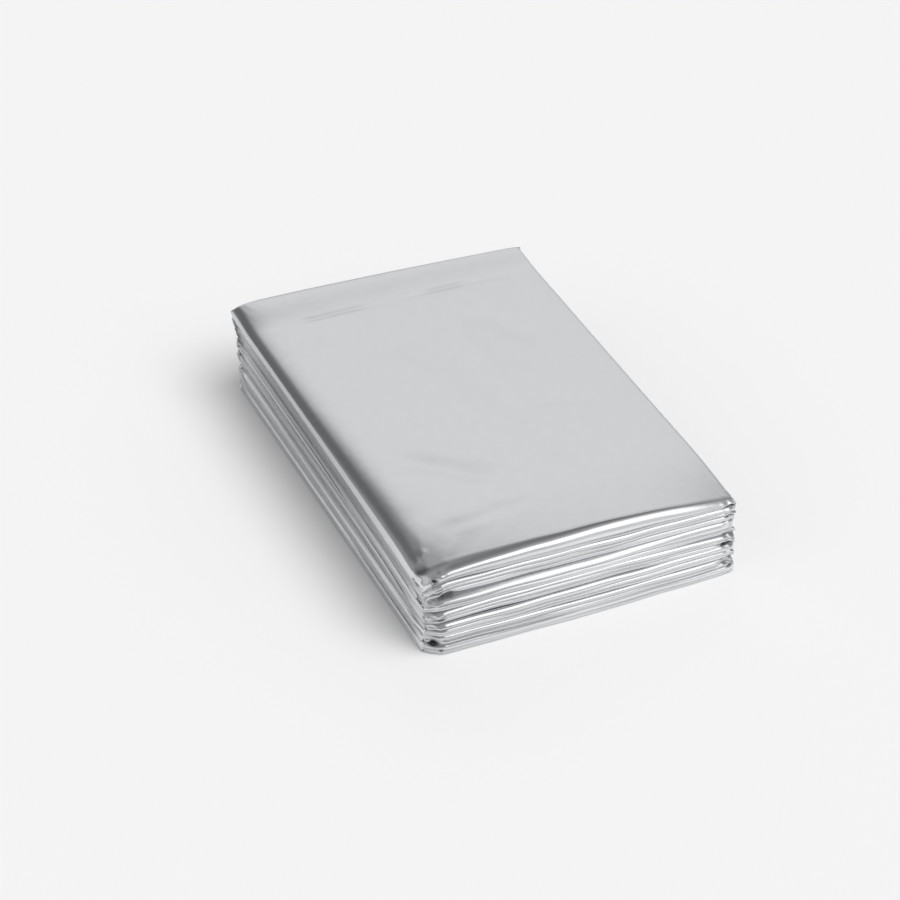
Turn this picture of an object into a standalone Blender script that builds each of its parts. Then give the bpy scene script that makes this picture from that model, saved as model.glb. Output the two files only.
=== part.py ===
"""A rescue blanket of metallised film, folded flat for its packet.

The blanket is first folded lengthwise into a narrow strip many films thick, and the strip is then
folded back and forth along Y. Twelve runs of it lie on each other, joined by six round bends at the
near end (-Y) and five at the far end (+Y), with both free ends at the far end. All of it is one
solid, in metres, with the origin under its middle and its underside flat on Z = 0.
"""

import bmesh
import bpy
import numpy as np

MM = 0.001
WIDTH = 82.0 * MM  # X, over the long edges
LENGTH = 128.0 * MM  # Y, over the near and far bends
RUNS = 12  # layers of the strip, from the top down
GAP = 0.35 * MM  # air between two layers, and inside a bend
RIM = 1.3 * MM  # how far in from a long edge or a free end a layer starts to round off
CORNER = 6.0 * MM  # length over which a bend draws back towards a corner
CORNER_BACK_NEAR = 1.0 * MM
CORNER_BACK_FAR = 0.3 * MM
FOIL = (0.80, 0.81, 0.83, 1.0)

# The stack's height at the near and far end (mm), at places across the width from -1 to 1.
HEIGHT_COLUMNS = ("across", "near", "far")
HEIGHTS = (
    (-1.0, 24.8, 25.4),
    (0.0, 25.0, 25.2),
    (1.0, 23.4, 24.2),
)

# The soft shoulder along each long edge, where the top film rolls over: its width and its drop (mm)
# at the near end, half way along and at the far end.
SHOULDER_COLUMNS = (
    "side",
    "width_near",
    "width_middle",
    "width_far",
    "drop_near",
    "drop_middle",
    "drop_far",
)
SHOULDERS = (
    (-1.0, 8.0, 9.0, 4.5, 2.6, 3.0, 2.2),
    (1.0, 10.0, 7.0, 5.0, 2.0, 2.6, 1.8),
)

SHOULDER_POWER = 2.2

# The two runs of each near bend, from the top down: their share of the height at the left, middle
# and right of the near end, at the far left corner and over the rest of the far end, and how far
# the bend stays back there (mm).
FOLD_COLUMNS = (
    "left",
    "middle",
    "right",
    "far_left",
    "far",
    "back_left",
    "back_middle",
    "back_right",
    "back_far",
)
FOLDS = (
    (0.150, 0.175, 0.145, 0.100, 0.172, 0.9, 0.3, 0.7, 0.2),
    (0.160, 0.163, 0.170, 0.140, 0.160, 0.5, 0.6, 0.3, 0.2),
    (0.165, 0.150, 0.165, 0.160, 0.170, 1.2, 0.2, 0.7, 0.6),
    (0.130, 0.150, 0.140, 0.164, 0.156, 0.6, 0.7, 0.0, 0.0),
    (0.160, 0.150, 0.170, 0.172, 0.164, 0.2, 0.3, 0.6, 0.5),
    (0.235, 0.212, 0.210, 0.264, 0.178, 0.8, 0.0, 0.5, 0.7),
)
SHARE_BLEND = 1.6  # the shares reach their far values 1 / 1.6 of the way along

# Each run from the top down: how far its long edges stay in from the full width (mm).
RUN_COLUMNS = ("left_near", "left_far", "right_near", "right_far")
RUN_EDGES = (
    (0.9, 0.5, 0.7, 0.4),
    (0.0, 0.1, 0.0, 0.2),
    (1.0, 0.8, 0.9, 0.7),
    (1.3, 1.0, 1.1, 0.9),
    (1.0, 0.8, 0.9, 0.7),
    (0.1, 0.0, 0.2, 0.1),
    (1.1, 0.9, 1.0, 0.8),
    (1.4, 1.1, 1.2, 1.0),
    (1.2, 0.9, 1.0, 0.8),
    (0.4, 0.2, 0.1, 0.0),
    (1.6, 1.1, 0.9, 0.8),
    (2.1, 1.3, 1.0, 0.7),
)

# The wedge of air under one near bend, open at the near left corner.
WEDGE_OVER_RUN = 4  # the run that lies below it, counting from 0
WEDGE_HEIGHT = 2.0 * MM
WEDGE_REACH = 45.0 * MM  # how far it runs back from the near end

# The far strip of the top: past this line the stack falls away a little.
FAR_CREASE = 0.90  # share of the length from the near end
FAR_FALL = 0.6 * MM

BEND_STEPS = 6  # segments round a half turn
RUN_STEPS = 5  # segments along a run
END_STEPS = 3  # segments round a free end
RIM_STEPS = 3  # segments round a long edge
ACROSS_STEPS = 12  # segments between the two rims
ACROSS_POWER = 1.7  # how strongly they crowd towards the shoulders


def table(columns, rows):
    """The rows as one array for each named column."""
    return dict(zip(columns, np.array(rows, float).T))


def ease(t):
    """A smooth step from 0 to 1 as t goes from 0 to 1."""
    t = np.clip(t, 0.0, 1.0)
    return t * t * (3.0 - 2.0 * t)


def through(left, middle, right, u):
    """A parabola across the width through its values at u = -1, 0 and 1."""
    return middle + (right - left) / 2 * u + ((left + right) / 2 - middle) * u * u


def part_way(x, y):
    """Place across from -1 to 1, and place along from 0, near, to 1, far."""
    return np.clip(2 * x / WIDTH, -1, 1), np.clip(y / LENGTH + 0.5, 0, 1)


def stack_height(x, y):
    """The top face: crowned across, lower at the far end, with a round shoulder at each side."""
    u, v = part_way(x, y)
    height = table(HEIGHT_COLUMNS, HEIGHTS)
    near = through(*height["near"], u)
    far = through(*height["far"], u)
    top = (near + (far - near) * ease(v)) * MM
    top = top - FAR_FALL * ease((v - FAR_CREASE) / (1 - FAR_CREASE))
    shoulder = table(SHOULDER_COLUMNS, SHOULDERS)
    for i, side in enumerate(shoulder["side"]):
        width, drop = (
            through(*(shoulder[f"{size}_{place}"][i] for place in ("near", "middle", "far")), 2 * v - 1)
            for size in ("width", "drop")
        )
        inside = np.clip(1 - (WIDTH / 2 - side * x) / (width * MM), 0, 1)
        top = top - drop * MM * inside**SHOULDER_POWER
    return top


def share_above(run, x, y):
    """The share of the height that the runs above this one take up."""
    u, v = part_way(x, y)
    fold = table(FOLD_COLUMNS, FOLDS)
    total = 0.0
    for above in range(run):
        i = above // 2
        near = through(fold["left"][i], fold["middle"][i], fold["right"][i], u)
        far = fold["far"][i] + (fold["far_left"][i] - fold["far"][i]) * ease(-u)
        total = total + (near + (far - near) * ease(SHARE_BLEND * v)) / 2
    return total


def run_faces(run, x, y):
    """The heights of a run's upper and lower face, GAP apart from its neighbours'."""
    u, v = part_way(x, y)
    wedge = WEDGE_HEIGHT * ease(-u) * (1 - ease(v * LENGTH / WEDGE_REACH))
    solid = stack_height(x, y) - wedge
    lift = wedge if run < WEDGE_OVER_RUN else 0.0
    upper = lift + solid * (1 - share_above(run, x, y)) - (GAP / 2 if run > 0 else 0.0)
    lower = lift + solid * (1 - share_above(run + 1, x, y)) + GAP / 2
    if run == RUNS - 1:
        lower = np.zeros_like(lower)
    return upper, lower


def edge_place(run, across, v):
    """X of the column at this place across, between the run's two long edges."""
    edge = {name: column[run] for name, column in table(RUN_COLUMNS, RUN_EDGES).items()}
    left = edge["left_near"] + (edge["left_far"] - edge["left_near"]) * v
    right = edge["right_near"] + (edge["right_far"] - edge["right_near"]) * v
    half = WIDTH / 2 - np.where(across < 0, left, right) * MM
    return across * half


def corner_back(x, is_near):
    """How far a bend draws back at a place across, ever more towards each corner."""
    inside = np.clip(1 - (WIDTH / 2 - np.abs(x)) / CORNER, 0, 1)
    return (CORNER_BACK_NEAR if is_near else CORNER_BACK_FAR) * inside**3


def columns_across():
    """Places across from -1 to 1, close together at the rims, and each one's share of thickness."""
    rim = RIM / (WIDTH / 2)
    turn = np.linspace(0, np.pi / 2, RIM_STEPS + 1)
    side = 1 - rim + rim * np.sin(turn)
    even = np.linspace(-1, 1, ACROSS_STEPS + 1)[1:-1]
    inner = (1 - rim) * np.sign(even) * (1 - (1 - np.abs(even)) ** ACROSS_POWER)
    places = np.concatenate([-side[::-1], inner, side])
    shares = np.concatenate([np.cos(turn)[::-1], np.ones(len(inner)), np.cos(turn)])
    shares[0] = shares[-1] = 0.0
    return places, shares


def bend_start(bend, is_near, x):
    """Y where a bend begins, from the outermost point that it may reach and its own depth."""
    u = np.clip(2 * x / WIDTH, -1, 1)
    fold = table(FOLD_COLUMNS, FOLDS)
    if is_near:
        i = bend
        back = through(fold["back_left"][i], fold["back_middle"][i], fold["back_right"][i], u) * MM
        end, runs = -LENGTH / 2, (2 * bend, 2 * bend + 1)
    else:
        back = (fold["back_far"][bend] + fold["back_far"][bend + 1]) / 2 * MM
        end, runs = LENGTH / 2, (2 * bend + 1, 2 * bend + 2)
    tip = end - np.sign(end) * (back + corner_back(x, is_near))
    upper, _ = run_faces(runs[0], x, tip)
    _, lower = run_faces(runs[1], x, tip)
    depth = (upper - lower) / 2
    return tip - np.sign(end) * depth, depth


def run_stations(run, places):
    """Both faces of one run, from its far to its near end, as (x, y, upper, lower) rows."""
    near, _ = bend_start(run // 2, True, edge_place(run, places, 0.0))
    if 0 < run < RUNS - 1:
        far, _ = bend_start((run - 1) // 2, False, edge_place(run, places, 1.0))
        along = np.linspace(0, 1, RUN_STEPS + 1)
        rounding = np.ones(RUN_STEPS + 1)
    else:
        fold = table(FOLD_COLUMNS, FOLDS)
        back = fold["back_far"][run // 2] * MM
        far = LENGTH / 2 - back - corner_back(places * WIDTH / 2, False)
        turn = np.linspace(np.pi / 2, 0, END_STEPS + 1)
        end = RIM / LENGTH * (1 - np.sin(turn))
        along = np.concatenate([end, np.linspace(end[-1], 1, RUN_STEPS + 1)[1:]])
        rounding = np.concatenate([np.cos(turn), np.ones(RUN_STEPS)])
        rounding[0] = 0.0
    y = far + (near - far) * along[:, None]
    v = np.clip(y / LENGTH + 0.5, 0, 1)
    x = edge_place(run, places, v)
    upper, lower = run_faces(run, x, y)
    return x, y, upper, lower, rounding


def bend_stations(bend, is_near, places):
    """The half turn between two runs: outer and inner arcs as (x, y, z), from the upper run down."""
    first = 2 * bend if is_near else 2 * bend + 1
    v_end = 0.0 if is_near else 1.0
    outward = -1.0 if is_near else 1.0
    x_above = edge_place(first, places, v_end)
    x_below = edge_place(first + 1, places, v_end)
    start_above, depth_above = bend_start(bend, is_near, x_above)
    start_below, depth_below = bend_start(bend, is_near, x_below)
    v_above = np.clip(start_above / LENGTH + 0.5, 0, 1)
    v_below = np.clip(start_below / LENGTH + 0.5, 0, 1)
    x_above = edge_place(first, places, v_above)
    x_below = edge_place(first + 1, places, v_below)
    top, under_top = run_faces(first, x_above, start_above)
    over_bottom, bottom = run_faces(first + 1, x_below, start_below)
    turn = np.linspace(0, np.pi, BEND_STEPS + 1)[1:-1, None]
    mix = (1 - np.cos(turn)) / 2
    x = x_above + (x_below - x_above) * mix
    start = start_above + (start_below - start_above) * mix
    depth = depth_above + (depth_below - depth_above) * mix
    arcs = []
    for high, low, reach in ((top, bottom, depth), (under_top, over_bottom, GAP / 2)):
        z = (high + low) / 2 + (high - low) / 2 * np.cos(turn)
        arcs.append((start + outward * reach * np.sin(turn), z))
    return x, arcs


def folded_strip():
    """Corner points of the strip's two faces, as (station, column, xyz) arrays, and its rounding.

    Face A is the top of the first run and B its underside. A half turn at the near end has A
    outside, and one at the far end has B outside.
    """
    places, rim_share = columns_across()
    face_a, face_b, rounding = [], [], []
    for run in range(RUNS):
        x, y, upper, lower, share = run_stations(run, places)
        pair = [np.stack([x, y, upper], -1), np.stack([x, y, lower], -1)]
        if run % 2:
            pair = [pair[1][::-1], pair[0][::-1]]
            share = share[::-1]
        face_a.append(pair[0])
        face_b.append(pair[1])
        rounding.append(share)
        if run == RUNS - 1:
            break
        is_near = run % 2 == 0
        x, ((outer_y, outer_z), (inner_y, inner_z)) = bend_stations(run // 2, is_near, places)
        outer = np.stack([x, outer_y, outer_z], -1)
        inner = np.stack([x, inner_y, inner_z], -1)
        face_a.append(outer if is_near else inner)
        face_b.append(inner if is_near else outer)
        rounding.append(np.ones(len(x)))
    face_a, face_b = np.concatenate(face_a), np.concatenate(face_b)
    share = np.concatenate(rounding)[:, None] * rim_share
    middle, half = (face_a + face_b) / 2, (face_a - face_b) / 2
    return middle + half * share[..., None], middle - half * share[..., None]


def closed_mesh(name, face_a, face_b):
    """One closed mesh of two grids that share the points along their whole border."""
    stations, columns = face_a.shape[:2]
    index_a = np.arange(stations * columns).reshape(stations, columns)
    index_b = index_a.copy()
    index_b[1:-1, 1:-1] = stations * columns + np.arange((stations - 2) * (columns - 2)).reshape(
        stations - 2, columns - 2
    )
    points = np.concatenate([face_a.reshape(-1, 3), face_b[1:-1, 1:-1].reshape(-1, 3)])
    low, high = points.min(axis=0), points.max(axis=0)
    points[:, :2] -= (low[:2] + high[:2]) / 2

    def quads(index):
        return np.stack([index[:-1, :-1], index[1:, :-1], index[1:, 1:], index[:-1, 1:]], -1)

    faces = np.concatenate([quads(index_a).reshape(-1, 4), quads(index_b).reshape(-1, 4)[:, ::-1]])
    mesh = bpy.data.meshes.new(name)
    mesh.from_pydata(points.tolist(), [], faces.tolist())
    shape = bmesh.new()
    shape.from_mesh(mesh)
    bmesh.ops.recalc_face_normals(shape, faces=shape.faces)
    shape.to_mesh(mesh)
    shape.free()
    mesh.shade_smooth()
    return mesh


def foil_material():
    """Bright metallised film."""
    material = bpy.data.materials.new("metallised_film")
    material.use_nodes = True
    shader = material.node_tree.nodes["Principled BSDF"]
    shader.inputs["Base Color"].default_value = FOIL
    shader.inputs["Metallic"].default_value = 1.0
    shader.inputs["Roughness"].default_value = 0.22
    return material


for leftover in list(bpy.data.objects):
    bpy.data.objects.remove(leftover)

blanket = bpy.data.objects.new("foil_blanket", closed_mesh("foil_blanket", *folded_strip()))
blanket.data.materials.append(foil_material())
bpy.context.scene.collection.objects.link(blanket)
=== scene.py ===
"""A rescue blanket of metallised film, folded flat: its looks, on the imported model's frame.

One piece of film, in metres, on the folds of the solid it stands for, with a studio floor, soft
light and a camera.
"""

import bpy
import numpy as np
from mathutils import Matrix, Vector


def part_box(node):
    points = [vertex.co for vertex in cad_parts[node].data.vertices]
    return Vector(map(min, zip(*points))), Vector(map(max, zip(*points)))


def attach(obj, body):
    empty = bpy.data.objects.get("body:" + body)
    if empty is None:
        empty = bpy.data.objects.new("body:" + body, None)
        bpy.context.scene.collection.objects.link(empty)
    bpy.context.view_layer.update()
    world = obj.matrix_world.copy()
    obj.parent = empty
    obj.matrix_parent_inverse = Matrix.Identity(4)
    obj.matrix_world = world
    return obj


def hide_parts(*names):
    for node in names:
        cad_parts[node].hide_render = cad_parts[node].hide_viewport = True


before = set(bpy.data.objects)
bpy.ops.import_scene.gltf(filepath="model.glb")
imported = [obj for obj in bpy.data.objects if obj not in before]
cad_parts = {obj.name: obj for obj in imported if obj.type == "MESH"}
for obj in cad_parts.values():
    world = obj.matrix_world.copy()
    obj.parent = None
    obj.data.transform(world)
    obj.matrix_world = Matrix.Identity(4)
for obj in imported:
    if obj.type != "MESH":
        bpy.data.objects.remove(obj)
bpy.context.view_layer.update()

# ---------------------------------------------------------------------------------------------
# Camera: a long lens that looks down on the near left corner of the folded blanket.
# ---------------------------------------------------------------------------------------------

MM = 0.001
LENS_MM = 120.0
SENSOR_MM = 36.0
AIM = Vector((-6.65, 1.58, 9.78)) * MM
CAMERA_DISTANCE = 0.761
CAMERA_SWING = np.radians(22.50)  # from +Y towards +X
CAMERA_DIP = np.radians(34.76)
CAMERA_ROLL = np.radians(-1.54)

camera_data = bpy.data.cameras.new("camera")
camera_data.lens = LENS_MM
camera_data.sensor_width = SENSOR_MM
camera = bpy.data.objects.new("camera", camera_data)
bpy.context.scene.collection.objects.link(camera)
looks_along = Vector(
    (
        np.sin(CAMERA_SWING) * np.cos(CAMERA_DIP),
        np.cos(CAMERA_SWING) * np.cos(CAMERA_DIP),
        -np.sin(CAMERA_DIP),
    )
)
level_view = looks_along.to_track_quat("-Z", "Y").to_matrix()
camera_turn = level_view @ Matrix.Rotation(CAMERA_ROLL, 3, "Z")
camera.matrix_world = Matrix.Translation(AIM - CAMERA_DISTANCE * looks_along) @ camera_turn.to_4x4()
bpy.context.scene.camera = camera
bpy.context.scene.view_settings.view_transform = "Standard"

# ---------------------------------------------------------------------------------------------
# Studio: a pale floor, a soft sky of pale and dark cards, and one wide lamp that whitens the floor.
# ---------------------------------------------------------------------------------------------

FLOOR_SIDE = 6.0
FLOOR_COLOUR = (0.88, 0.88, 0.88, 1.0)
FLOOR_ROUGHNESS = 0.9
FLOOR_SPECULAR = 0.2
SKY_LEVEL = 0.36
# Each card: its bearing from +Y towards +X, its height over the floor, half its spread, how soft
# its rim is (all in degrees), and its brightness.
CARDS = (
    (24.0, 28.0, 16.0, 12.0, 0.77),
    (22.0, 9.0, 13.0, 10.0, 0.55),
    (-28.0, 34.0, 19.0, 11.0, 0.13),
    (-40.0, 4.0, 12.0, 10.0, 0.26),
    (70.0, 72.0, 13.0, 10.0, 0.21),
    (156.0, 40.0, 14.0, 8.0, 1.70),
    (148.0, 6.0, 12.0, 12.0, 0.70),
    (-100.0, 34.0, 18.0, 14.0, 0.66),
)
LAMP_TURN = (np.radians(30.0), 0.0, np.radians(30.0))
LAMP_SPREAD = np.radians(50.0)
LAMP_STRENGTH = 2.15

floor_mesh = bpy.data.meshes.new("floor")
half_floor = FLOOR_SIDE / 2
floor_mesh.from_pydata(
    [(x, y, 0.0) for x, y in ((-1, -1), (1, -1), (1, 1), (-1, 1))],
    [],
    [(0, 1, 2, 3)],
)
floor_mesh.transform(Matrix.Scale(half_floor, 4))
floor = bpy.data.objects.new("floor", floor_mesh)
bpy.context.scene.collection.objects.link(floor)
floor_paper = bpy.data.materials.new("floor_paper")
floor_paper.use_nodes = True
floor_shader = floor_paper.node_tree.nodes["Principled BSDF"]
floor_shader.inputs["Base Color"].default_value = FLOOR_COLOUR
floor_shader.inputs["Roughness"].default_value = FLOOR_ROUGHNESS
floor_shader.inputs["Specular IOR Level"].default_value = FLOOR_SPECULAR
floor_mesh.materials.append(floor_paper)

sky = bpy.data.worlds.new("studio_sky")
sky.use_nodes = True
bpy.context.scene.world = sky
sky_nodes, sky_links = sky.node_tree.nodes, sky.node_tree.links
sky_direction = sky_nodes.new("ShaderNodeTexCoord").outputs["Generated"]
level_so_far = sky_nodes.new("ShaderNodeValue").outputs[0]
level_so_far.default_value = SKY_LEVEL
for bearing, height, spread, softness, level in np.array(CARDS):
    bearing, height = np.radians(bearing), np.radians(height)
    towards = sky_nodes.new("ShaderNodeVectorMath")
    towards.operation = "DOT_PRODUCT"
    towards.inputs[1].default_value = (
        np.sin(bearing) * np.cos(height),
        np.cos(bearing) * np.cos(height),
        np.sin(height),
    )
    sky_links.new(sky_direction, towards.inputs[0])
    rim = sky_nodes.new("ShaderNodeMapRange")
    rim.interpolation_type = "SMOOTHSTEP"
    rim.inputs["From Min"].default_value = np.cos(np.radians(spread + softness))
    rim.inputs["From Max"].default_value = np.cos(np.radians(max(spread - softness, 0.0)))
    sky_links.new(towards.outputs["Value"], rim.inputs["Value"])
    card = sky_nodes.new("ShaderNodeMix")
    card.data_type = "FLOAT"
    card.inputs["B"].default_value = level
    sky_links.new(rim.outputs["Result"], card.inputs["Factor"])
    sky_links.new(level_so_far, card.inputs["A"])
    level_so_far = card.outputs["Result"]
sky_links.new(level_so_far, sky_nodes["Background"].inputs["Strength"])
sky_nodes["Background"].inputs["Color"].default_value = (1.0, 1.0, 1.0, 1.0)

lamp_data = bpy.data.lights.new("floor_lamp", "SUN")
lamp_data.energy = LAMP_STRENGTH
lamp_data.angle = LAMP_SPREAD
lamp = bpy.data.objects.new("floor_lamp", lamp_data)
lamp.rotation_euler = LAMP_TURN
lamp.visible_glossy = False
bpy.context.scene.collection.objects.link(lamp)

# ---------------------------------------------------------------------------------------------
# Foil blanket: one sheet of thin metallised film, folded lengthwise into a narrow strip many
# films thick, and the strip folded back and forth, with six rolls at the near end and five at the
# far end. Nothing holds it: it lies flat on its last layer.
# ---------------------------------------------------------------------------------------------

box_low, box_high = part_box("foil_blanket")
WIDTH = (box_high.x - box_low.x) / MM  # all the blanket's own sizes below are in mm
LENGTH = (box_high.y - box_low.y) / MM
RUNS = 12  # layers of the strip, from the top down
GAP = 0.10  # air between two layers
CORNER = 5.0  # length over which a roll draws back towards a corner
CORNER_BACK_LEFT = (1.0, 1.5, 1.8, 2.0, 2.4, 2.8)  # at the near end, roll by roll
CORNER_BACK_RIGHT = 0.4
CORNER_BACK_FAR = 0.2
END_REACH = 0.6  # how far a free end of the strip is rounded
FAR_LEFT, FAR_RIGHT = 66.2, 63.0  # Y of the far folds, which aren't square to the long edges

# The stack's height at the near and far end, at places across the width from -1 to 1.
HEIGHT_COLUMNS = ("across", "near", "far")
HEIGHTS = (
    (-1.0, 24.8, 25.3),
    (0.0, 25.0, 25.2),
    (1.0, 23.4, 24.2),
)

# The shoulder along each long edge falls to that edge's top ridge in three parts: a wide one and
# a narrow one, each a power of the distance from the edge, and a wall that is a quarter ellipse.
# The wide and narrow parts' shares of the fall and the wall's width are given at the near end,
# half way and at the far end, and proud is how far the top ridge stands out.
SHOULDER_COLUMNS = (
    "side",
    "wide_near",
    "wide_middle",
    "wide_far",
    "narrow_near",
    "narrow_middle",
    "narrow_far",
    "wall_near",
    "wall_middle",
    "wall_far",
    "proud",
)
SHOULDERS = (
    (-1.0, 0.45, 0.47, 0.34, 0.20, 0.17, 0.21, 0.6, 0.5, 0.5, 0.6),
    (1.0, 0.06, 0.06, 0.06, 0.0, 0.0, 0.0, 1.2, 1.5, 1.2, 0.0),
)
WIDE, WIDE_POWER = 12.0, 3.3
NARROW, NARROW_POWER = 2.5, 2.0
EDGE_IN = 0.08  # how far a long edge's ridges stay in from the full width
FILM_IN = 0.4  # how far inside the top ridge the top film's face ends, on the wall
FALL_BELOW = 0.92  # the films under the top one fall by this share of the wide and narrow parts

# The two runs of each near roll, from the top down: their share of the height at the left, middle
# and right of the near end, at the far left corner and over the rest of the far end, and how far
# the roll stays back there.
FOLD_COLUMNS = (
    "left",
    "middle",
    "right",
    "far_left",
    "far",
    "back_left",
    "back_middle",
    "back_right",
    "back_far",
)
FOLDS = (
    (0.150, 0.175, 0.145, 0.100, 0.172, 0.9, 0.3, 0.7, 0.2),
    (0.160, 0.163, 0.170, 0.140, 0.160, 0.5, 0.6, 0.3, 0.2),
    (0.165, 0.150, 0.165, 0.160, 0.170, 1.2, 0.2, 0.7, 0.6),
    (0.130, 0.150, 0.140, 0.164, 0.156, 0.6, 0.7, 0.0, 0.0),
    (0.160, 0.150, 0.170, 0.172, 0.164, 0.2, 0.3, 0.6, 0.5),
    (0.235, 0.212, 0.210, 0.264, 0.178, 0.8, 0.0, 0.5, 0.7),
)
SHARE_BLEND = 1.6  # the shares reach their far values 1 / 1.6 of the way along

# The wedge of air under one near roll, open at the near left corner.
WEDGE_OVER_RUN = 4
WEDGE_HEIGHT = 0.8
WEDGE_REACH = 6.0

# Towards the near end the top bulges over its edge by this much, at the left, middle and right.
BULGE = (0.9, 0.7, 0.1)
BULGE_REACH = 20.0
BULGE_POWER = 1.4

FAR_CREASE = 0.90  # share of the length from the near end
FAR_RISE = 0.8

# Where the first roll is pressed thinner towards its corners: the side, how far the top film sinks
# there, and over what length across and along. The film under it sinks a share of that.
SINKS = (
    (-1.0, 2.0, 30.0, 20.0),
    (1.0, 2.2, 34.0, 28.0),
)
SECOND_SINK = 0.5

# The long edges stand out in five soft ridges, and draw in under each. Each ridge's height at the
# near end, half way and at the far end, how far the edge draws in below it, and the share of the
# way to the next ridge where it does so the most.
RIDGE_COLUMNS = ("side", "near", "middle", "far", "drawn_in", "deepest")
RIDGES = (
    (-1.0, 19.8, 22.1, 22.2, 0.42, 0.72),
    (-1.0, 13.0, 13.5, 14.0, 0.30, 0.80),
    (-1.0, 10.8, 11.0, 11.0, 0.45, 0.76),
    (-1.0, 6.7, 6.4, 6.8, 0.35, 0.80),
    (-1.0, 2.2, 2.0, 1.9, 0.20, 0.74),
    (1.0, 20.2, 20.9, 21.8, 0.70, 0.84),
    (1.0, 13.0, 13.6, 14.6, 0.45, 0.74),
    (1.0, 9.8, 10.4, 11.4, 0.40, 0.76),
    (1.0, 6.2, 6.6, 7.4, 0.40, 0.80),
    (1.0, 2.8, 2.4, 2.9, 0.20, 0.74),
)
RIDGES_A_SIDE = 5
DRAWN_POWER = 1.3  # how sharply an edge draws in, as a power of a sine
# TOP_BLEND is also the depth over which the long edges' painted shade sets in under the top ridge.
TOP_BLEND = 0.8  # depth under the top ridge over which the streaks and the edge's own shade set in
# The fine streaks of the films' own folds along the edges: each wave's depth, how fast it turns
# with height, the length it takes along for each radian, and where it starts.
STREAKS = (
    (0.038, 4.9, 37.0, 0.0),
    (0.020, 8.3, -29.0, 2.0),
)
EDGE_ROUND = 0.12  # each layer's own edge is rounded this much at both films
EDGE_ROUND_REACH = 1.0  # depth under the top ridge over which that rounding sets in

# Each roll's outline from the top down: how far its upper quarter reaches back and how square that
# is (2 is round, 1 is straight) at the left and right, how far its lower quarter reaches back, the
# share of its height where it stands furthest out, and the places and depths of up to three
# grooves between the films' own folds. At its ends the roll is hollow and pinched thinner.
ROLL_COLUMNS = (
    "upper_left",
    "upper_right",
    "square_left",
    "square_right",
    "lower",
    "tip",
    "groove_one",
    "depth_one",
    "groove_two",
    "depth_two",
    "groove_three",
    "depth_three",
    "hollow_left",
    "hollow_right",
    "pinch_left",
    "pinch_right",
)
NEAR_ROLLS = (
    (5.2, 1.2, 2.3, 1.15, 0.9, 0.60, 0.76, 0.34, 0.90, 0.16, 0.30, 0.00, 0.3, 1.6, 0.00, 0.10),
    (1.3, 1.1, 1.7, 1.5, 0.9, 0.36, 0.30, 0.26, 0.57, 0.36, 0.84, 0.14, 1.4, 0.8, 0.10, 0.20),
    (3.8, 1.2, 1.1, 1.8, 0.8, 0.48, 0.26, 0.02, 0.57, 0.36, 0.82, 0.20, 0.9, 0.4, 0.25, 0.15),
    (1.2, 1.2, 1.7, 1.5, 0.9, 0.36, 0.34, 0.28, 0.62, 0.34, 0.84, 0.16, 0.8, 1.8, 0.20, 0.60),
    (1.3, 1.1, 1.6, 1.7, 0.8, 0.36, 0.46, 0.34, 0.76, 0.28, 0.20, 0.00, 0.8, 1.5, 0.25, 0.40),
    (1.4, 1.3, 1.7, 1.6, 1.2, 0.34, 0.24, 0.26, 0.48, 0.36, 0.80, 0.28, 1.8, 0.6, 0.15, 0.15),
)
FAR_ROLLS = (
    (1.4, 1.6, 1.8, 1.6, 1.0, 0.40, 0.34, 0.22, 0.60, 0.30, 0.84, 0.16, 1.2, 0.6, 0.20, 0.15),
    (1.5, 1.2, 1.6, 1.8, 1.1, 0.36, 0.28, 0.14, 0.58, 0.30, 0.82, 0.22, 1.5, 0.8, 0.15, 0.25),
    (1.2, 1.5, 1.7, 1.7, 1.0, 0.44, 0.36, 0.26, 0.64, 0.30, 0.84, 0.12, 1.0, 1.0, 0.30, 0.20),
    (1.4, 1.3, 1.8, 1.6, 0.9, 0.38, 0.30, 0.20, 0.56, 0.28, 0.78, 0.22, 0.8, 0.5, 0.20, 0.15),
    (1.6, 1.4, 1.6, 1.7, 1.2, 0.40, 0.28, 0.24, 0.60, 0.32, 0.80, 0.18, 0.6, 0.7, 0.15, 0.20),
)

# The dents where the near rolls are crushed beside the corners: which roll, the place across, the
# share of its height, the reach across and over that share, and the depth.
DENTS = (
    (0, -38.3, 0.50, 0.8, 0.20, 0.9),
    (1, -35.7, 0.97, 1.8, 0.20, 1.6),
    (1, -24.0, 1.00, 12.0, 0.07, 0.3),
    (2, -35.7, 0.05, 1.8, 0.14, 1.4),
    (3, -38.0, 0.62, 0.6, 0.12, 0.4),
    (5, -39.6, 0.40, 0.7, 0.20, 1.1),
    (5, -38.3, 0.76, 0.5, 0.09, 0.4),
    (0, 40.6, 0.94, 1.3, 0.24, 1.8),
    (0, 38.9, 0.90, 0.7, 0.12, 0.7),
    (1, 39.6, 0.62, 0.7, 0.12, 0.5),
    (2, 38.6, 0.92, 0.9, 0.10, 0.3),
    (3, 38.8, 0.84, 1.8, 0.22, 1.7),
    (5, 38.6, 0.16, 1.6, 0.08, 0.45),
    (5, 40.0, 0.42, 0.8, 0.10, 0.45),
)
PINCH_REACH = 4.5  # length from a corner over which a roll is pinched thinner
GROOVE_WIDTH = 0.075  # of the roll's height
GROOVE_CHANGE, GROOVE_CHANGE_LENGTH = 0.3, 11.0  # how a groove's depth swells across the width
GROOVE_CHANGE_SHIFT = (2.0, 3.0)  # how much further on that swell starts with each groove and roll
UPPER_POWER = 0.6  # the upper quarter changes with this power of the share of the way across
LOWER_SQUARE = 3.0  # how square a roll's lower quarter is
HOLLOW_REACH = 5.0  # how far back from a roll's tip the strip is hollow at its long edges
HOLLOW_POWER = 1.4  # how sharply that hollow sets in from both films
TIP_BACK = 0.15  # how far a roll's tip stays inside the blanket's length

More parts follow.
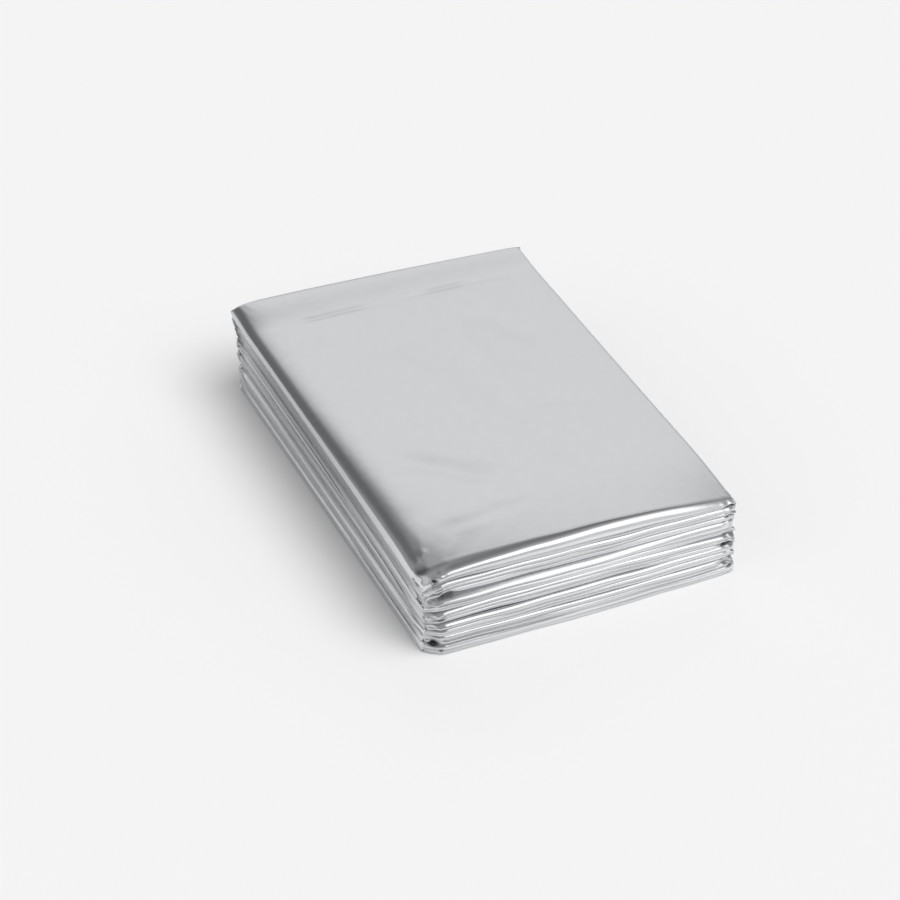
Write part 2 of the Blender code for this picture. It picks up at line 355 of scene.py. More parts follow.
# How the tips and the grooves waver across the width: each wave's size, the length it takes for
# each radian, and how much further on it starts with each roll.
NEAR_TIP_WAVES = ((0.10, 6.0, 2.1), (0.06, 2.7, 1.3))
FAR_TIP_WAVES = ((0.10, 7.0, 1.7), (0.06, 3.1, 2.9))
GROOVE_WAVES = ((0.020, 8.0, 2.0), (0.012, 3.3, 5.0))

FACE_COLUMNS = 104  # points across the face that shows on top
BACK_COLUMNS = 50  # points across the strip's other face
EDGE_POINTS = 11  # points round a long edge
NEAR_STEPS = 36
FAR_STEPS = 16
TOP_STEPS = 72
CREASE_ROWS = 14  # more rows of points beside the far crease
CREASE_ROWS_REACH = 0.03  # share of the length
INNER_STEPS = 14
COLUMN_CROWDING = 1.25  # how strongly the columns crowd towards the long edges
EVEN_SHARE = 0.45  # share of a roll's steps that is even; the rest crowds towards both films
EDGE_TURNS = 12  # rounds in which a long edge's place and height are found from each other
HALVINGS = 16  # rounds of halving in which a place on the shoulder is found

# Share of the painted shade on the long edges, standing in for the shade between the films' folds
# and for the dark surroundings that they reflect, at the near end, half way and at the far end, and
# how much more of it there is for each millimetre that an edge is drawn in.
EDGE_DARK = (0.15, 0.62, 0.44)
EDGE_DARKER = 0.30
WALL_DARK = (0.10, 0.45, 0.30)  # the same, above the top ridge
# The painted shade on the long edges is lighter towards the foot: its share there, and how much
# more of it there is from each height up (how much, the height, and over what length it sets in).
FOOT_SHARE = 0.2
HIGHER_SHARES = (
    (0.6, 4.0, 6.0),
    (0.4, 14.5, 2.0),
)
# More painted shade on the rolls, standing in for shade: at the left end of the near ones and over
# what share of half the width, along the seams above and below each, for each millimetre of a
# groove and of a dent, and inside.
LEFT_DARK, LEFT_DARK_REACH = 0.14, 1.3
SEAM_DARK = 0.35
GROOVE_DARK = 1.1
DENT_DARK = 1.3
INSIDE_DARK = 0.6
SEAM, SEAM_PINCHED = 0.05, 0.4  # width of a seam, as a share of the roll, and more where pinched
# Painted shade on the films between layers, standing in for the shade of the layers above them:
PAINTED_SHADE_NEAR = 0.45  # share of that colour on a film between layers, at the near end
PAINTED_SHADE_REACH = 5.0  # length from the near end over which such a film goes fully dark
LIT_REACH = 1.0  # the same, from a long edge


def named(columns, rows):
    """The rows of a table as one array for each named column."""
    return dict(zip(columns, np.array(rows, float).T))


HEIGHT, SHOULDER, FOLD, RIDGE = (
    named(columns, rows)
    for columns, rows in (
        (HEIGHT_COLUMNS, HEIGHTS),
        (SHOULDER_COLUMNS, SHOULDERS),
        (FOLD_COLUMNS, FOLDS),
        (RIDGE_COLUMNS, RIDGES),
    )
)
NEAR_ROLL, FAR_ROLL = named(ROLL_COLUMNS, NEAR_ROLLS), named(ROLL_COLUMNS, FAR_ROLLS)


def ease(t):
    """A smooth step: 3 t squared minus 2 t cubed, with t held between 0 and 1."""
    t = np.clip(t, 0.0, 1.0)
    return t * t * (3.0 - 2.0 * t)


def bell(off):
    """A bell curve, 1 at off = 0."""
    return np.exp(-(off**2))


def through(left, middle, right, u):
    """A parabola through its values at u = -1, 0 and 1."""
    return middle + (right - left) / 2 * u + ((left + right) / 2 - middle) * u * u


def part_way(x, y):
    """Place across from -1 to 1, and place along from 0, near, to 1, far."""
    return np.clip(2 * x / WIDTH, -1, 1), np.clip(y / LENGTH + 0.5, 0, 1)


# The creases of the top film, each a soft trough (-) or ridge (+) along a line on the face: the X
# and Y of the line's two ends, the half width and the height.
CREASES = (
    (-28.0, 51.2, -8.0, 51.2, 0.8, -0.10),
    (7.0, 51.4, 20.0, 51.4, 0.8, -0.09),
    (-38.0, 51.3, 38.0, 51.3, 1.2, -0.04),
    (-30.0, -17.0, -9.0, -37.0, 2.8, -0.21),
    (-24.0, -14.0, -4.0, -30.0, 3.0, 0.12),
    (8.0, -7.0, 31.0, -14.0, 2.0, -0.08),
    (-32.0, -49.0, -4.0, -46.5, 1.4, -0.12),
    (9.5, 38.0, 9.8, -43.0, 1.6, 0.08),
    (13.0, 40.0, 26.0, 18.0, 4.0, -0.12),
    (-14.0, 30.0, 4.0, -30.0, 6.0, 0.14),
    (-39.0, -36.0, -24.0, -60.0, 6.0, -0.15),
    (-39.0, -61.0, -35.5, -47.0, 0.8, 0.06),
    (-37.5, -61.0, -31.5, -50.0, 0.8, -0.06),
    (-36.0, -61.0, -27.5, -53.0, 0.8, 0.05),
    (-41.6, -58.6, -39.3, -54.6, 0.45, 0.28),
    (-40.2, -55.2, -36.0, -54.2, 0.45, 0.24),
)
CREASE_FADE = 0.2  # share of a crease's length over which it fades at both ends


def creases(x, y):
    """The height that the creases add: for each, its own height times a bell curve of the
    distance from its line, faded by a smooth step at both ends."""
    total = np.zeros(np.broadcast(x, y).shape)
    for x0, y0, x1, y1, width, height in CREASES:
        run = np.array([x1 - x0, y1 - y0])
        length = np.hypot(*run)
        along = ((x - x0) * run[0] + (y - y0) * run[1]) / length**2
        off = ((x - x0) * run[1] - (y - y0) * run[0]) / length
        fade = ease(along / CREASE_FADE) * ease((1 - along) / CREASE_FADE)
        total = total + height * fade * bell(off / width)
    return total


# The slow swells of the layers: each wave's height, the lengths that it takes across and along for
# each radian, and where it starts.
SWELLS = (
    (0.05, 9.0, 23.0, 0.4),
    (0.05, 15.0, -14.0, 1.9),
    (0.03, 5.3, 31.0, 4.0),
    (0.02, 3.1, -40.0, 2.2),
)
TOP_SWELL = 0.4  # share of the swells on the top film
SWELL_SHIFT = (5.0, -9.0)  # how far the swells move across and along from one level to the next
CALM_POWER = 60  # the top film is calm near its edges, by this power of the place across


def unevenness(x, y):
    """The swells added up: each a sine of x over one length plus y over another plus its start."""
    return sum(
        height * np.sin(x / length_x + y / length_y + start)
        for height, length_x, length_y, start in SWELLS
    )


def corner_share(u):
    """The share of a corner's rounding at the column u: a cube, nought from CORNER on."""
    return np.clip(1 - (1 - np.abs(u)) * WIDTH / 2 / CORNER, 0, 1) ** 3


def ridge_height(side, order, y):
    """Height of a long edge's ridge, 0 the top one, at y: a parabola along the edge."""
    heights = [RIDGE[place][RIDGE["side"] == side][order] for place in ("near", "middle", "far")]
    return through(*heights, np.clip(2 * y / LENGTH, -1, 1))


def shoulder_fall(side, inside, y, whole, wall=1.0):
    """How far the top has fallen at a distance inside a long edge, of the whole fall there: the
    wide and the narrow part, and a share of the wall."""
    row = SHOULDER["side"] == side
    along = np.clip(2 * y / LENGTH, -1, 1)
    wide, narrow, wall_width = (
        through(*(SHOULDER[f"{name}_{place}"][row][0] for place in ("near", "middle", "far")), along)
        for name in ("wide", "narrow", "wall")
    )
    on_wall = np.clip(1 - inside / wall_width, 0, 1)
    fall = wall * (1 - wide - narrow) * (1 - np.sqrt(1 - on_wall**2))
    fall = fall + wide * np.clip(1 - inside / WIDE, 0, 1) ** WIDE_POWER
    return whole * (fall + narrow * np.clip(1 - inside / NARROW, 0, 1) ** NARROW_POWER)


def crown(x, y):
    """The top face without its shoulders: a parabola across, bulging over its near edge by a power
    of the distance from it, and lifted past the far crease."""
    u, v = part_way(x, y)
    near, far = through(*HEIGHT["near"], u), through(*HEIGHT["far"], u)
    at_edge = np.clip(1 - v * LENGTH / BULGE_REACH, 0, 1) ** BULGE_POWER
    bulge = through(*BULGE, u) * (1 - at_edge) * (1 - ease(v))
    return near + (far - near) * ease(v) + bulge + FAR_RISE * ease((v - FAR_CREASE) / (1 - FAR_CREASE))


def corner_sink(x, y):
    """How far the top film sinks towards the near corners: squares of the shares of the reach."""
    total = 0.0
    for side, depth, reach_across, reach_along in SINKS:
        in_x = np.clip(1 - (WIDTH / 2 - side * x) / reach_across, 0, 1)
        in_y = np.clip(1 - (y + LENGTH / 2) / reach_along, 0, 1)
        total = total + depth * (in_x * in_y) ** 2
    return total


def edge_x(side):
    """X of a long edge's top ridge."""
    return side * (WIDTH / 2 - EDGE_IN + SHOULDER["proud"][SHOULDER["side"] == side][0])


def stack_height(x, y, fall=1.0, wall=1.0, sink=1.0):
    """The crown, less a share of the sinks at the corners, less, near each long edge, a share of
    the shoulder's fall to that edge's top ridge."""
    top = crown(x, y) - sink * corner_sink(x, y)
    for side in SHOULDER["side"]:
        whole = crown(edge_x(side), y) - sink * corner_sink(edge_x(side), y) - ridge_height(side, 0, y)
        top = top - fall * shoulder_fall(side, side * (edge_x(side) - x), y, whole, wall)
    return top


def share_above(level, x, y):
    """The share of the height that the runs above this level take up: for each, half of its
    roll's share, which is a parabola across at the near end and eases to the far value."""
    u, v = part_way(x, y)
    total = 0.0
    for above in range(level):
        i = above // 2
        near = through(FOLD["left"][i], FOLD["middle"][i], FOLD["right"][i], u)
        far = FOLD["far"][i] + (FOLD["far_left"][i] - FOLD["far"][i]) * ease(-u)
        total = total + (near + (far - near) * ease(SHARE_BLEND * v)) / 2
    return total


def level_height(level, above, x, y):
    """The height of the film at a level, 0 the top and RUNS the underside, on the side of the run
    above it or of the run below it, which lie GAP apart. Between those two it is the stack's
    height, less the shares of the runs above, plus the swells, and plus the wedge of air."""
    u, v = part_way(x, y)
    wedge = WEDGE_HEIGHT * ease(-u) * (1 - ease(v * LENGTH / WEDGE_REACH))
    lifted = level < WEDGE_OVER_RUN or (level == WEDGE_OVER_RUN and above)
    if level == 0:
        calm = 1 - np.abs(u) ** CALM_POWER
        return stack_height(x, y) + calm * (creases(x, y) + TOP_SWELL * unevenness(x, y))
    if level == RUNS:
        return np.zeros(np.broadcast(x, y).shape)
    sink = SECOND_SINK if level == 1 else 0.0
    stack = stack_height(x, y, fall=FALL_BELOW, wall=0.0, sink=sink)
    middle = (stack - wedge) * (1 - share_above(level, x, y))
    middle = middle + unevenness(x + SWELL_SHIFT[0] * level, y + SWELL_SHIFT[1] * level)
    return middle + (wedge if lifted else 0.0) + (GAP / 2 if above else -GAP / 2)


def edge_in(side, z, y):
    """How far a long edge stays in from the full width at a height.

    Below the top ridge it is a wave, a power of a sine: nought at each ridge, the most at that
    ridge's own share of the way to the next one down, and back. Above it the edge follows the
    shoulder, whose place at that height is found by halving. Sine waves of height add the streaks.
    """
    ridges = [ridge_height(side, order, y) for order in range(RIDGES_A_SIDE)]
    rows = RIDGE["side"] == side
    drawn_in = 0.0
    for upper, lower, depth, deepest in zip(
        ridges, ridges[1:] + [np.zeros_like(y)], RIDGE["drawn_in"][rows], RIDGE["deepest"][rows]
    ):
        place = np.clip((upper - z) / (upper - lower), 0, 1)
        rise = np.where(place < deepest, place / deepest, (1 - place) / (1 - deepest))
        drawn_in = drawn_in + depth * np.sin(np.pi / 2 * rise) ** DRAWN_POWER
    top = ridges[0]
    corner = crown(edge_x(side), y) - corner_sink(edge_x(side), y)
    low, high = np.zeros(np.broadcast(y, z).shape), np.full(np.broadcast(y, z).shape, FILM_IN)
    for _ in range(HALVINGS):
        inside = (low + high) / 2
        is_low = corner - shoulder_fall(side, inside, y, corner - top) < z
        low, high = np.where(is_low, inside, low), np.where(is_low, high, inside)
    above = np.where(z > top, low, 0.0)
    proud = abs(edge_x(side)) - WIDTH / 2 + EDGE_IN
    proud = proud * ease((z - ridges[1]) / (top - ridges[1]))
    streaks = sum(
        depth * np.sin(turns * z + y / length + start) for depth, turns, length, start in STREAKS
    )
    return EDGE_IN - proud + drawn_in + above + streaks * ease((top - z) / TOP_BLEND)


def edge_round(side, z, y):
    """How much a layer's edge is rounded at a height: not at all on the shoulder, and in full from
    EDGE_ROUND_REACH under the top ridge, by a smooth step."""
    return EDGE_ROUND * ease((ridge_height(side, 0, y) - z) / EDGE_ROUND_REACH)


def between_edges(u, level_of, y):
    """X and height of the columns u at y. Their ends lie on the long edges: the place in and the
    height there are found in turn, each from the other."""
    ends, end_heights = [], []
    for side, end_y in ((-1.0, y[..., :1]), (1.0, y[..., -1:])):
        inset = np.full(end_y.shape, WIDTH / 2 - abs(edge_x(side)) + FILM_IN)
        for _ in range(EDGE_TURNS):
            end_z = level_of(side * (WIDTH / 2 - inset), end_y)
            inset = edge_in(side, end_z, end_y)
        ends.append(side * (WIDTH / 2 - inset - edge_round(side, end_z, end_y)))
        end_heights.append(end_z)
    x = ends[0] + (ends[1] - ends[0]) * (u + 1) / 2
    z = level_of(x, y)
    z[..., :1], z[..., -1:] = end_heights
    return x, z


def across(left, right, u):
    """From the left value to the right one in a straight line."""
    return left + (right - left) * (u + 1) / 2


def far_end(u):
    """Y of the far folds: a straight line from the left long edge to the right one."""
    return across(FAR_LEFT, FAR_RIGHT, u)


def wavering(waves, x, roll):
    """The waves added up: each a sine of x over its length, moved on by its shift for each roll."""
    return sum(size * np.sin(x / length + shift * roll) for size, length, shift in waves)


def roll_tip(roll, is_near, u):
    """Y of the outermost line of a roll: a parabola across, wavering, drawn back by a cube of the
    share of the way to each corner."""
    inside = corner_share(u)
    x = u * WIDTH / 2
    if is_near:
        back = through(FOLD["back_left"][roll], FOLD["back_middle"][roll], FOLD["back_right"][roll], u)
        waver = wavering(NEAR_TIP_WAVES, x, roll)
        corner_back = np.where(u < 0, CORNER_BACK_LEFT[roll], CORNER_BACK_RIGHT)
        return -LENGTH / 2 + TIP_BACK + back + waver + corner_back * inside
    back = (FOLD["back_far"][roll] + FOLD["back_far"][roll + 1]) / 2
    waver = wavering(FAR_TIP_WAVES, x, roll)
    return far_end(u) - TIP_BACK - back + waver - CORNER_BACK_FAR * inside


def run_end(run, is_near, u):
    """Y where a run goes over into its roll at the near or far end, at the column u."""
    if not is_near and run in (0, RUNS - 1):
        inside = corner_share(u)
        return far_end(u) - END_REACH - FOLD["back_far"][run // 2] - CORNER_BACK_FAR * inside
    roll, is_upper = (run // 2, run % 2 == 0) if is_near else ((run - 1) // 2, run % 2 == 1)
    shape = NEAR_ROLL if is_near else FAR_ROLL
    towards_right = 2 * ((u + 1) / 2) ** UPPER_POWER - 1
    upper = across(shape["upper_left"][roll], shape["upper_right"][roll], towards_right)
    reach = upper if is_upper else shape["lower"][roll]
    return roll_tip(roll, is_near, u) + (reach if is_near else -reach)


def run_stations(run, along, u):
    """A run's upper and lower film at the columns u, from its far to its near end. A film between
    layers gets painted shade, darker from the near end and from the long edges inwards, by smooth
    steps, where the layers above would shut the light out."""
    far, near = run_end(run, False, u), run_end(run, True, u)
    y = far + (near - far) * along[:, None]
    films = []
    for level, above in ((run, False), (run + 1, True)):
        x, z = between_edges(u, lambda x, y: level_height(level, above, x, y), y)
        from_near = ease((y + LENGTH / 2) / PAINTED_SHADE_REACH)
        from_edge = ease((1 - np.abs(u)) * WIDTH / 2 / LIT_REACH)
        painted_shade = (level > 0) * (PAINTED_SHADE_NEAR + (1 - PAINTED_SHADE_NEAR) * from_near)
        films.append(np.stack([x, y, z, painted_shade * from_edge], -1))
    return films


def corner_pinch(shape, u):
    """The share by which a roll is pinched thinner: the most at its corners, and nought from
    PINCH_REACH on, by a smooth step."""
    most = np.where(u < 0, shape["pinch_left"], shape["pinch_right"])
    return most * (1 - ease((1 - np.abs(u)) * WIDTH / 2 / PINCH_REACH))


def roll_stations(roll, is_near, steps, u):
    """The outer and inner film of a roll at the columns u, from the upper run to the lower one.

    The outline goes down from the upper run, out along a quarter of a superellipse to the tip, as
    square as that side asks for, and back along a squarer quarter. Three bell-shaped grooves and
    the near rolls' dents are taken out of it. Its height is drawn towards the middle by the pinch,
    times a sine of the way round. Painted shade darkens it in the grooves, in the dents, along both
    seams and at the left end, and darkens the inner film all over. The inner film is a plain half
    turn.
    """
    first = 2 * roll if is_near else 2 * roll + 1
    outward = -1.0 if is_near else 1.0
    shape = {name: column[roll] for name, column in (NEAR_ROLL if is_near else FAR_ROLL).items()}
    start_above, start_below = run_end(first, is_near, u), run_end(first + 1, is_near, u)
    tip = roll_tip(roll, is_near, u)
    turn = np.linspace(0, 1, steps + 2)[1:-1, None]
    down = EVEN_SHARE * turn + (1 - EVEN_SHARE) * (1 - np.cos(np.pi * turn)) / 2
    rise = np.clip((shape["tip"] - down) / shape["tip"], 0, 1)
    fall = np.clip((down - shape["tip"]) / (1 - shape["tip"]), 0, 1)
    square = across(shape["square_left"], shape["square_right"], u)
    dip = np.abs(start_above - tip) * (1 - (1 - rise**square) ** (1 / square))
    dip = dip + np.abs(start_below - tip) * (1 - (1 - fall**LOWER_SQUARE) ** (1 / LOWER_SQUARE))
    x = u * WIDTH / 2
    waver = wavering(GROOVE_WAVES, x, roll)
    seam = SEAM + SEAM_PINCHED * corner_pinch(shape, u)
    roll_shade = SEAM_DARK * (bell(down / seam) + bell((1 - down) / seam))
    for i, groove in enumerate(("one", "two", "three")):
        groove_bell = bell((down - shape[f"groove_{groove}"] - waver) / GROOVE_WIDTH)
        shift = GROOVE_CHANGE_SHIFT[0] * i + GROOVE_CHANGE_SHIFT[1] * roll
        swell = np.sin(x / GROOVE_CHANGE_LENGTH + shift)
        depth = shape[f"depth_{groove}"] * (1 + GROOVE_CHANGE * swell)
        dip = dip + depth * groove_bell
        roll_shade = roll_shade + GROOVE_DARK * depth * groove_bell
    if is_near:
        roll_shade = roll_shade + LEFT_DARK * (1 - ease((u + 1) / LEFT_DARK_REACH))
        for _, dent_x, dent_down, reach, share, depth in (dent for dent in DENTS if dent[0] == roll):
            dented = bell(np.hypot((x - dent_x) / reach, (down - dent_down) / share))
            dip = dip + depth * dented
            roll_shade = roll_shade + DENT_DARK * min(depth, 1) * dented
    outer_y = tip - outward * dip

    def ends_at(start, x):
        return np.interp(2 * x / WIDTH, u, start)

    def outer_height(x, y):
        above, below = (ends_at(start, x) for start in (start_above, start_below))
        top = level_height(first, False, x, above)
        pinched = 0.5 + (down - 0.5) * (1 - corner_pinch(shape, 2 * x / WIDTH) * np.sin(np.pi * turn))
        return top + (level_height(first + 2, True, x, below) - top) * pinched

    def inner_height(x, y):
        above, below = (ends_at(start, x) for start in (start_above, start_below))
        top = level_height(first + 1, True, x, above)
        bottom = level_height(first + 1, False, x, below)
        return (top + bottom) / 2 + (top - bottom) / 2 * np.cos(np.pi * turn)

    inner_y = start_above + (start_below - start_above) * turn
    inner_y = inner_y + outward * GAP / 2 * np.sin(np.pi * turn)
    films = []
    inside = np.full_like(roll_shade, INSIDE_DARK)
    for height, y, painted_shade in ((outer_height, outer_y, roll_shade), (inner_height, inner_y, inside)):
        x, z = between_edges(u, height, y)
        films.append(np.stack([x, y, z, np.clip(painted_shade, 0, 1)], -1))
    return films


def edge_points(start, end, side, hollow):
    """The points round a long edge from one film to the other, station by station: they follow
    the edge's own wave, rounded in by a root of a sine where they meet the films, and dished in
    between by the hollow times a power of that sine. Their painted shade, which stands in for the
    shade between the folds and for dark reflections, is a parabola along the edge, below the top
    ridge times a share that grows with height, and more where the edge is drawn in.
    """
    part = (1 - np.cos(np.linspace(0, np.pi, EDGE_POINTS + 2)[1:-1])) / 2
    points = start[:, None] + (end - start)[:, None] * part[:, None]
    y, z = points[..., 1], points[..., 2]
    swell = np.sin(np.pi * part)
    inset = edge_in(side, z, y) + edge_round(side, z, y) * (1 - np.sqrt(swell))
    inset = inset + hollow[:, None] * swell**HOLLOW_POWER
    points[..., 0] = side * (WIDTH / 2 - inset)
    along = np.clip(2 * y / LENGTH, -1, 1)
    below_top = ease((ridge_height(side, 0, y) - z) / TOP_BLEND)
    share = sum((more * ease((z - above) / over) for more, above, over in HIGHER_SHARES), FOOT_SHARE)
    dark = through(*EDGE_DARK, along) * share + EDGE_DARKER * np.clip(inset, 0, 1)
    points[..., 3] = np.clip(dark * below_top + through(*WALL_DARK, along) * (1 - below_top), 0, 1)
    return points


def columns(count):
    """Places across from -1 to 1, closer together towards both long edges: a stretch of a sine."""
    spread = np.linspace(-1, 1, count)
    return np.sin(spread * COLUMN_CROWDING) / np.sin(COLUMN_CROWDING)


def folded_film():
    """Corner points of the film as rings round the strip, station by station from the free end on
    top down to the free end underneath: face A, right edge, face B, left edge. Along a run, the
    stations are half even and half crowded towards its ends, as a cosine."""
    u_a, u_b = columns(FACE_COLUMNS), columns(BACK_COLUMNS)
    face_a, face_b, hollow = [], [], []
    for run in range(RUNS):
        spread = np.linspace(0, 1, TOP_STEPS if run == 0 else INNER_STEPS)
        along = (spread + (1 - np.cos(np.pi * spread)) / 2) / 2
        if run == 0:
            beside = np.linspace(-CREASE_ROWS_REACH, CREASE_ROWS_REACH, CREASE_ROWS)
            along = np.sort(np.concatenate([along, 1 - FAR_CREASE + beside]))
        for_a, for_b = run_stations(run, along, u_a), run_stations(run, along, u_b)
        over, under = (0, 1) if run % 2 == 0 else (1, 0)
        order = slice(None, None, 1 if run % 2 == 0 else -1)
        face_a.append(for_a[over][order])
        face_b.append(for_b[under][order])
        near_roll, far_roll = run // 2, min((run - 1) // 2, len(FAR_ROLLS) - 1)
        hollows = []
        for side, column, u in (("left", 0, -1.0), ("right", -1, 1.0)):
            edge_y = for_a[0][:, column, 1]
            from_near = (edge_y + LENGTH / 2) / HOLLOW_REACH
            from_far = (far_end(u) - edge_y) / HOLLOW_REACH
            near = NEAR_ROLL[f"hollow_{side}"][near_roll] * (1 - ease(from_near))
            far = FAR_ROLL[f"hollow_{side}"][far_roll] * (1 - ease(from_far)) if run > 0 else 0.0
            hollows.append((near + far)[order])
        hollow.append(np.stack(hollows, -1))
        if run == RUNS - 1:
            break
        is_near = run % 2 == 0
        steps = NEAR_STEPS if is_near else FAR_STEPS
        for_a = roll_stations(run // 2, is_near, steps, u_a)
        for_b = roll_stations(run // 2, is_near, steps, u_b)
        face_a.append(for_a[0] if is_near else for_a[1])
        face_b.append(for_b[1] if is_near else for_b[0])
        shape = NEAR_ROLL if is_near else FAR_ROLL
        depths = [shape[f"hollow_{side}"][run // 2] for side in ("left", "right")]
        hollow.append(np.tile(depths, (steps, 1)))
    face_a, face_b, hollow = (np.concatenate(parts) for parts in (face_a, face_b, hollow))
    right = edge_points(face_a[:, -1], face_b[:, -1], 1.0, hollow[:, 1])
    left = edge_points(face_b[:, 0], face_a[:, 0], -1.0, hollow[:, 0])
    return np.concatenate([face_a, right, face_b[:, ::-1], left], axis=1)


END_STEPS = 4  # rings round each free end
END_THIN = 0.15  # share of its thickness that the strip's very end keeps
# The next value is the share of the painted shade that the strip's very end keeps.
END_PAINTED_SHADE = 0.2  # share of the tucked colour that it keeps


def rounded_ends(rings):
    """The rings with a few more at each end, which draw in to the middle of the thickness along a
    quarter ellipse."""
    turn = np.linspace(0, np.pi / 2, END_STEPS + 1)[1:, None, None]
    caps = []
    for end, beside in ((rings[0], rings[1]), (rings[-1], rings[-2])):
        middle = end.copy()
        middle[:, 2] = (end[:, 2].max() + end[:, 2].min()) / 2
        ahead = np.sign(end[:, 1].mean() - beside[:, 1].mean())
        cap = middle + (end - middle) * (END_THIN + (1 - END_THIN) * np.cos(turn))
        cap[..., 1] = end[:, 1] + ahead * END_REACH * np.sin(turn[..., 0])
        cap[..., 3] *= END_PAINTED_SHADE
        caps.append(cap)
    return np.concatenate([caps[0][::-1], rings, caps[1]])


def ring_mesh(name, rings):
    """One closed mesh of rings, each joined to the next, with a fan over the first and the last."""
    stations, around = rings.shape[:2]
    index = np.arange(stations * around).reshape(stations, around)
    ahead = np.roll(index, -1, axis=1)
    quads = np.stack([index[:-1], index[1:], ahead[1:], ahead[:-1]], -1).reshape(-1, 4)
    points = np.concatenate([rings.reshape(-1, 4), rings[0].mean(0)[None], rings[-1].mean(0)[None]])
    first, last = stations * around, stations * around + 1
    caps = np.concatenate(
        [
            np.stack([index[0], ahead[0], np.full(around, first)], -1),
            np.stack([ahead[-1], index[-1], np.full(around, last)], -1),
        ]
    )
    mesh = bpy.data.meshes.new(name)
    mesh.from_pydata((points[:, :3] * MM).tolist(), [], quads.tolist() + caps.tolist())
    # Each point's fourth value is its painted shade: how far its colour is darkened to stand in for
    # shade.
    painted_shade = mesh.attributes.new("painted_shade", "FLOAT", "POINT")
    painted_shade.data.foreach_set("value", points[:, 3].astype(np.float32))
    mesh.shade_smooth()
    return mesh


# Each crumpled corner: its place, how far the film is moved there, and over what length across.
CRUMPLES = (
    (-41.0, -64.0, 0.12, 4.0),
    (41.0, -64.0, 0.16, 3.0),
    (-41.0, 67.0, 0.03, 5.0),
    (41.0, 63.0, 0.04, 3.0),
)
CRUMPLE_STRETCH = 1.6  # a crumpled corner reaches this much further along than across
# The waves that move the film along X, Y and Z: each one's size, how fast it turns with X, Y and
# Z, and where it starts.
CRUMPLE_WAVES = (
    ((1.0, 0.0, 0.6, 1.3, 0.0), (0.5, 0.0, -1.1, 2.1, 1.0)),
    ((1.0, 1.5, 0.0, 0.9, 0.0), (0.6, 0.8, 0.0, -1.9, 2.0)),
    ((1.0, 1.4, 0.5, 0.0, 0.0), (0.5, -0.8, 1.2, 0.0, 4.0)),
)
VALLEY_SOFTNESS = 0.01  # how soft the valleys of these waves are
WAVE_MIDDLE = 1.1  # what is taken off a wave, so that it moves the film both ways
FOOT_CALM = 3.0  # height over which the film starts to be moved up and down


def creased(turn):
    """A wave with soft crests and sharp valleys: twice the root of a sine squared, softened at
    nought, less its middle."""
    return 2 * np.sqrt(np.sin(turn) ** 2 + VALLEY_SOFTNESS) - WAVE_MIDDLE


def crumpled(rings):
    """The rings with every point moved by a smooth field of crossed waves, times a bell curve of
    the distance from each crumpled corner."""
    x, y, z = (rings[..., i] for i in range(3))
    weight = 0.0
    for corner_x, corner_y, strength, reach in CRUMPLES:
        away = np.hypot(x - corner_x, (y - corner_y) / CRUMPLE_STRETCH) / reach
        weight = weight + strength * bell(away)
    moved = rings.copy()
    for axis, (waves, calm) in enumerate(zip(CRUMPLE_WAVES, (1.0, 1.0, ease(z / FOOT_CALM)))):
        push = sum(
            size * creased(turn_x * x + turn_y * y + turn_z * z + start)
            for size, turn_x, turn_y, turn_z, start in waves
        )
        moved[..., axis] += weight * push * calm
    return moved


# How far the near left corner is pressed in along x at the top and at the foot, and over what
# length across and along.
PRESSED_TOP, PRESSED_FOOT = 1.4, 2.6
PRESSED_ACROSS, PRESSED_ALONG = 9.0, 7.0


def pressed_in(rings):
    """The rings with the near left corner moved inwards: an eased share of the way to the edge,
    times a squared share of the way to the near end, more so towards the foot."""
    x, y, z = (rings[..., i] for i in range(3))
    moved = rings.copy()
    near_edge = ease(1 - (x + WIDTH / 2) / PRESSED_ACROSS)
    near_end = np.clip(1 - (y + LENGTH / 2) / PRESSED_ALONG, 0, 1) ** 2
    moved[..., 0] += (PRESSED_FOOT + (PRESSED_TOP - PRESSED_FOOT) * z / z.max()) * near_edge * near_end
    return moved


film = rounded_ends(pressed_in(crumpled(folded_film())))
blanket = bpy.data.objects.new("foil_blanket_film", ring_mesh("foil_blanket_film", film))
bpy.context.scene.collection.objects.link(blanket)
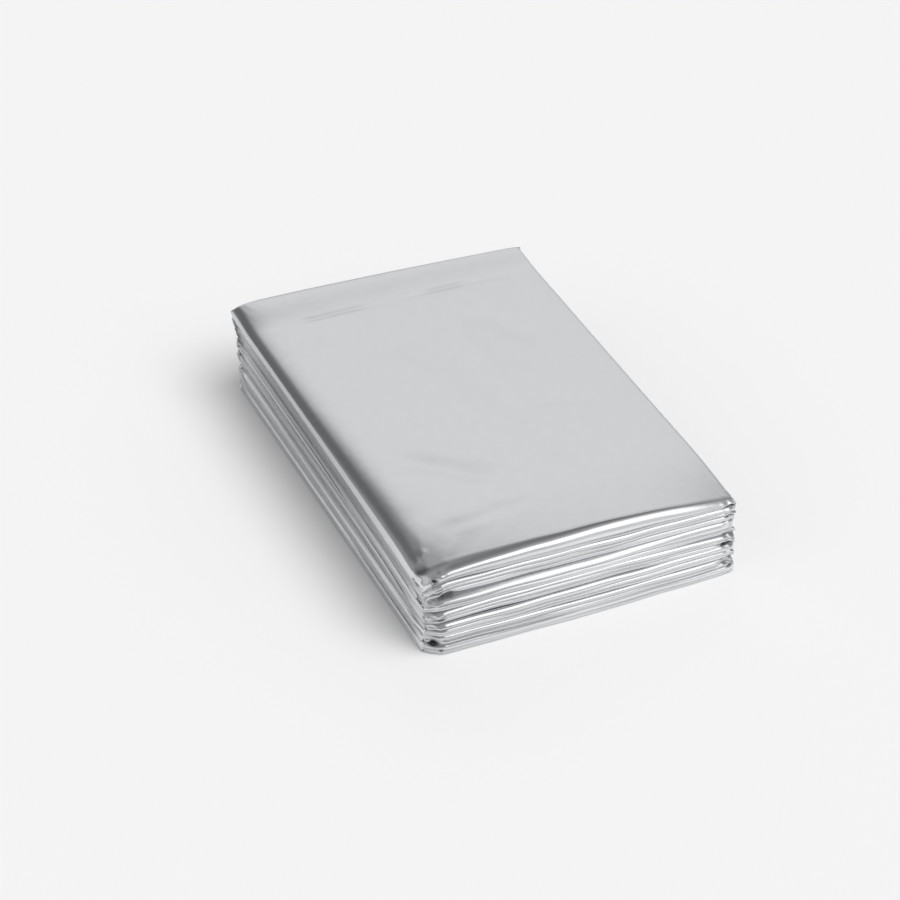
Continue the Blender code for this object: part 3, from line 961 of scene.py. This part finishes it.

# The film's look: bare metal, with painted shade mixed into its colour by a point attribute where
# folds would shut the light out and where the long edges would reflect dark surroundings, with the
# faint fine wrinkling of a film that has been folded by hand.
FOIL_COLOUR = (0.850, 0.860, 0.877, 1.0)
# The near black that the painted shade mixes into the foil colour.
PAINTED_SHADE_COLOUR = (0.05, 0.052, 0.055, 1.0)
WRINKLE_SIZE = 0.0022  # metres
WRINKLE_HEIGHT = 0.00002  # metres
WRINKLE_DETAIL = 2.0
FOIL_ROUGHNESS = (0.17, 0.25)  # at the lowest and highest of the wrinkles
foil = bpy.data.materials.new("metallised_film")
foil.use_nodes = True
foil_nodes, foil_links = foil.node_tree.nodes, foil.node_tree.links
foil_shader = foil_nodes["Principled BSDF"]
foil_shader.inputs["Metallic"].default_value = 1.0
painted_shade_node = foil_nodes.new("ShaderNodeAttribute")
painted_shade_node.attribute_name = "painted_shade"
foil_colour = foil_nodes.new("ShaderNodeMix")
foil_colour.data_type = "RGBA"
foil_colour.inputs["A"].default_value = FOIL_COLOUR
foil_colour.inputs["B"].default_value = PAINTED_SHADE_COLOUR
foil_links.new(painted_shade_node.outputs["Fac"], foil_colour.inputs["Factor"])
foil_links.new(foil_colour.outputs["Result"], foil_shader.inputs["Base Color"])
foil_place = foil_nodes.new("ShaderNodeTexCoord")
wrinkles = foil_nodes.new("ShaderNodeTexNoise")
wrinkles.inputs["Scale"].default_value = 1 / WRINKLE_SIZE
wrinkles.inputs["Detail"].default_value = WRINKLE_DETAIL
foil_links.new(foil_place.outputs["Object"], wrinkles.inputs["Vector"])
wrinkle_bump = foil_nodes.new("ShaderNodeBump")
wrinkle_bump.inputs["Distance"].default_value = WRINKLE_HEIGHT
foil_links.new(wrinkles.outputs["Fac"], wrinkle_bump.inputs["Height"])
foil_links.new(wrinkle_bump.outputs["Normal"], foil_shader.inputs["Normal"])
gloss = foil_nodes.new("ShaderNodeMapRange")
gloss.inputs["To Min"].default_value = FOIL_ROUGHNESS[0]
gloss.inputs["To Max"].default_value = FOIL_ROUGHNESS[1]
foil_links.new(wrinkles.outputs["Fac"], gloss.inputs["Value"])
foil_links.new(gloss.outputs["Result"], foil_shader.inputs["Roughness"])
blanket.data.materials.append(foil)

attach(blanket, "root")
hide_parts("foil_blanket")
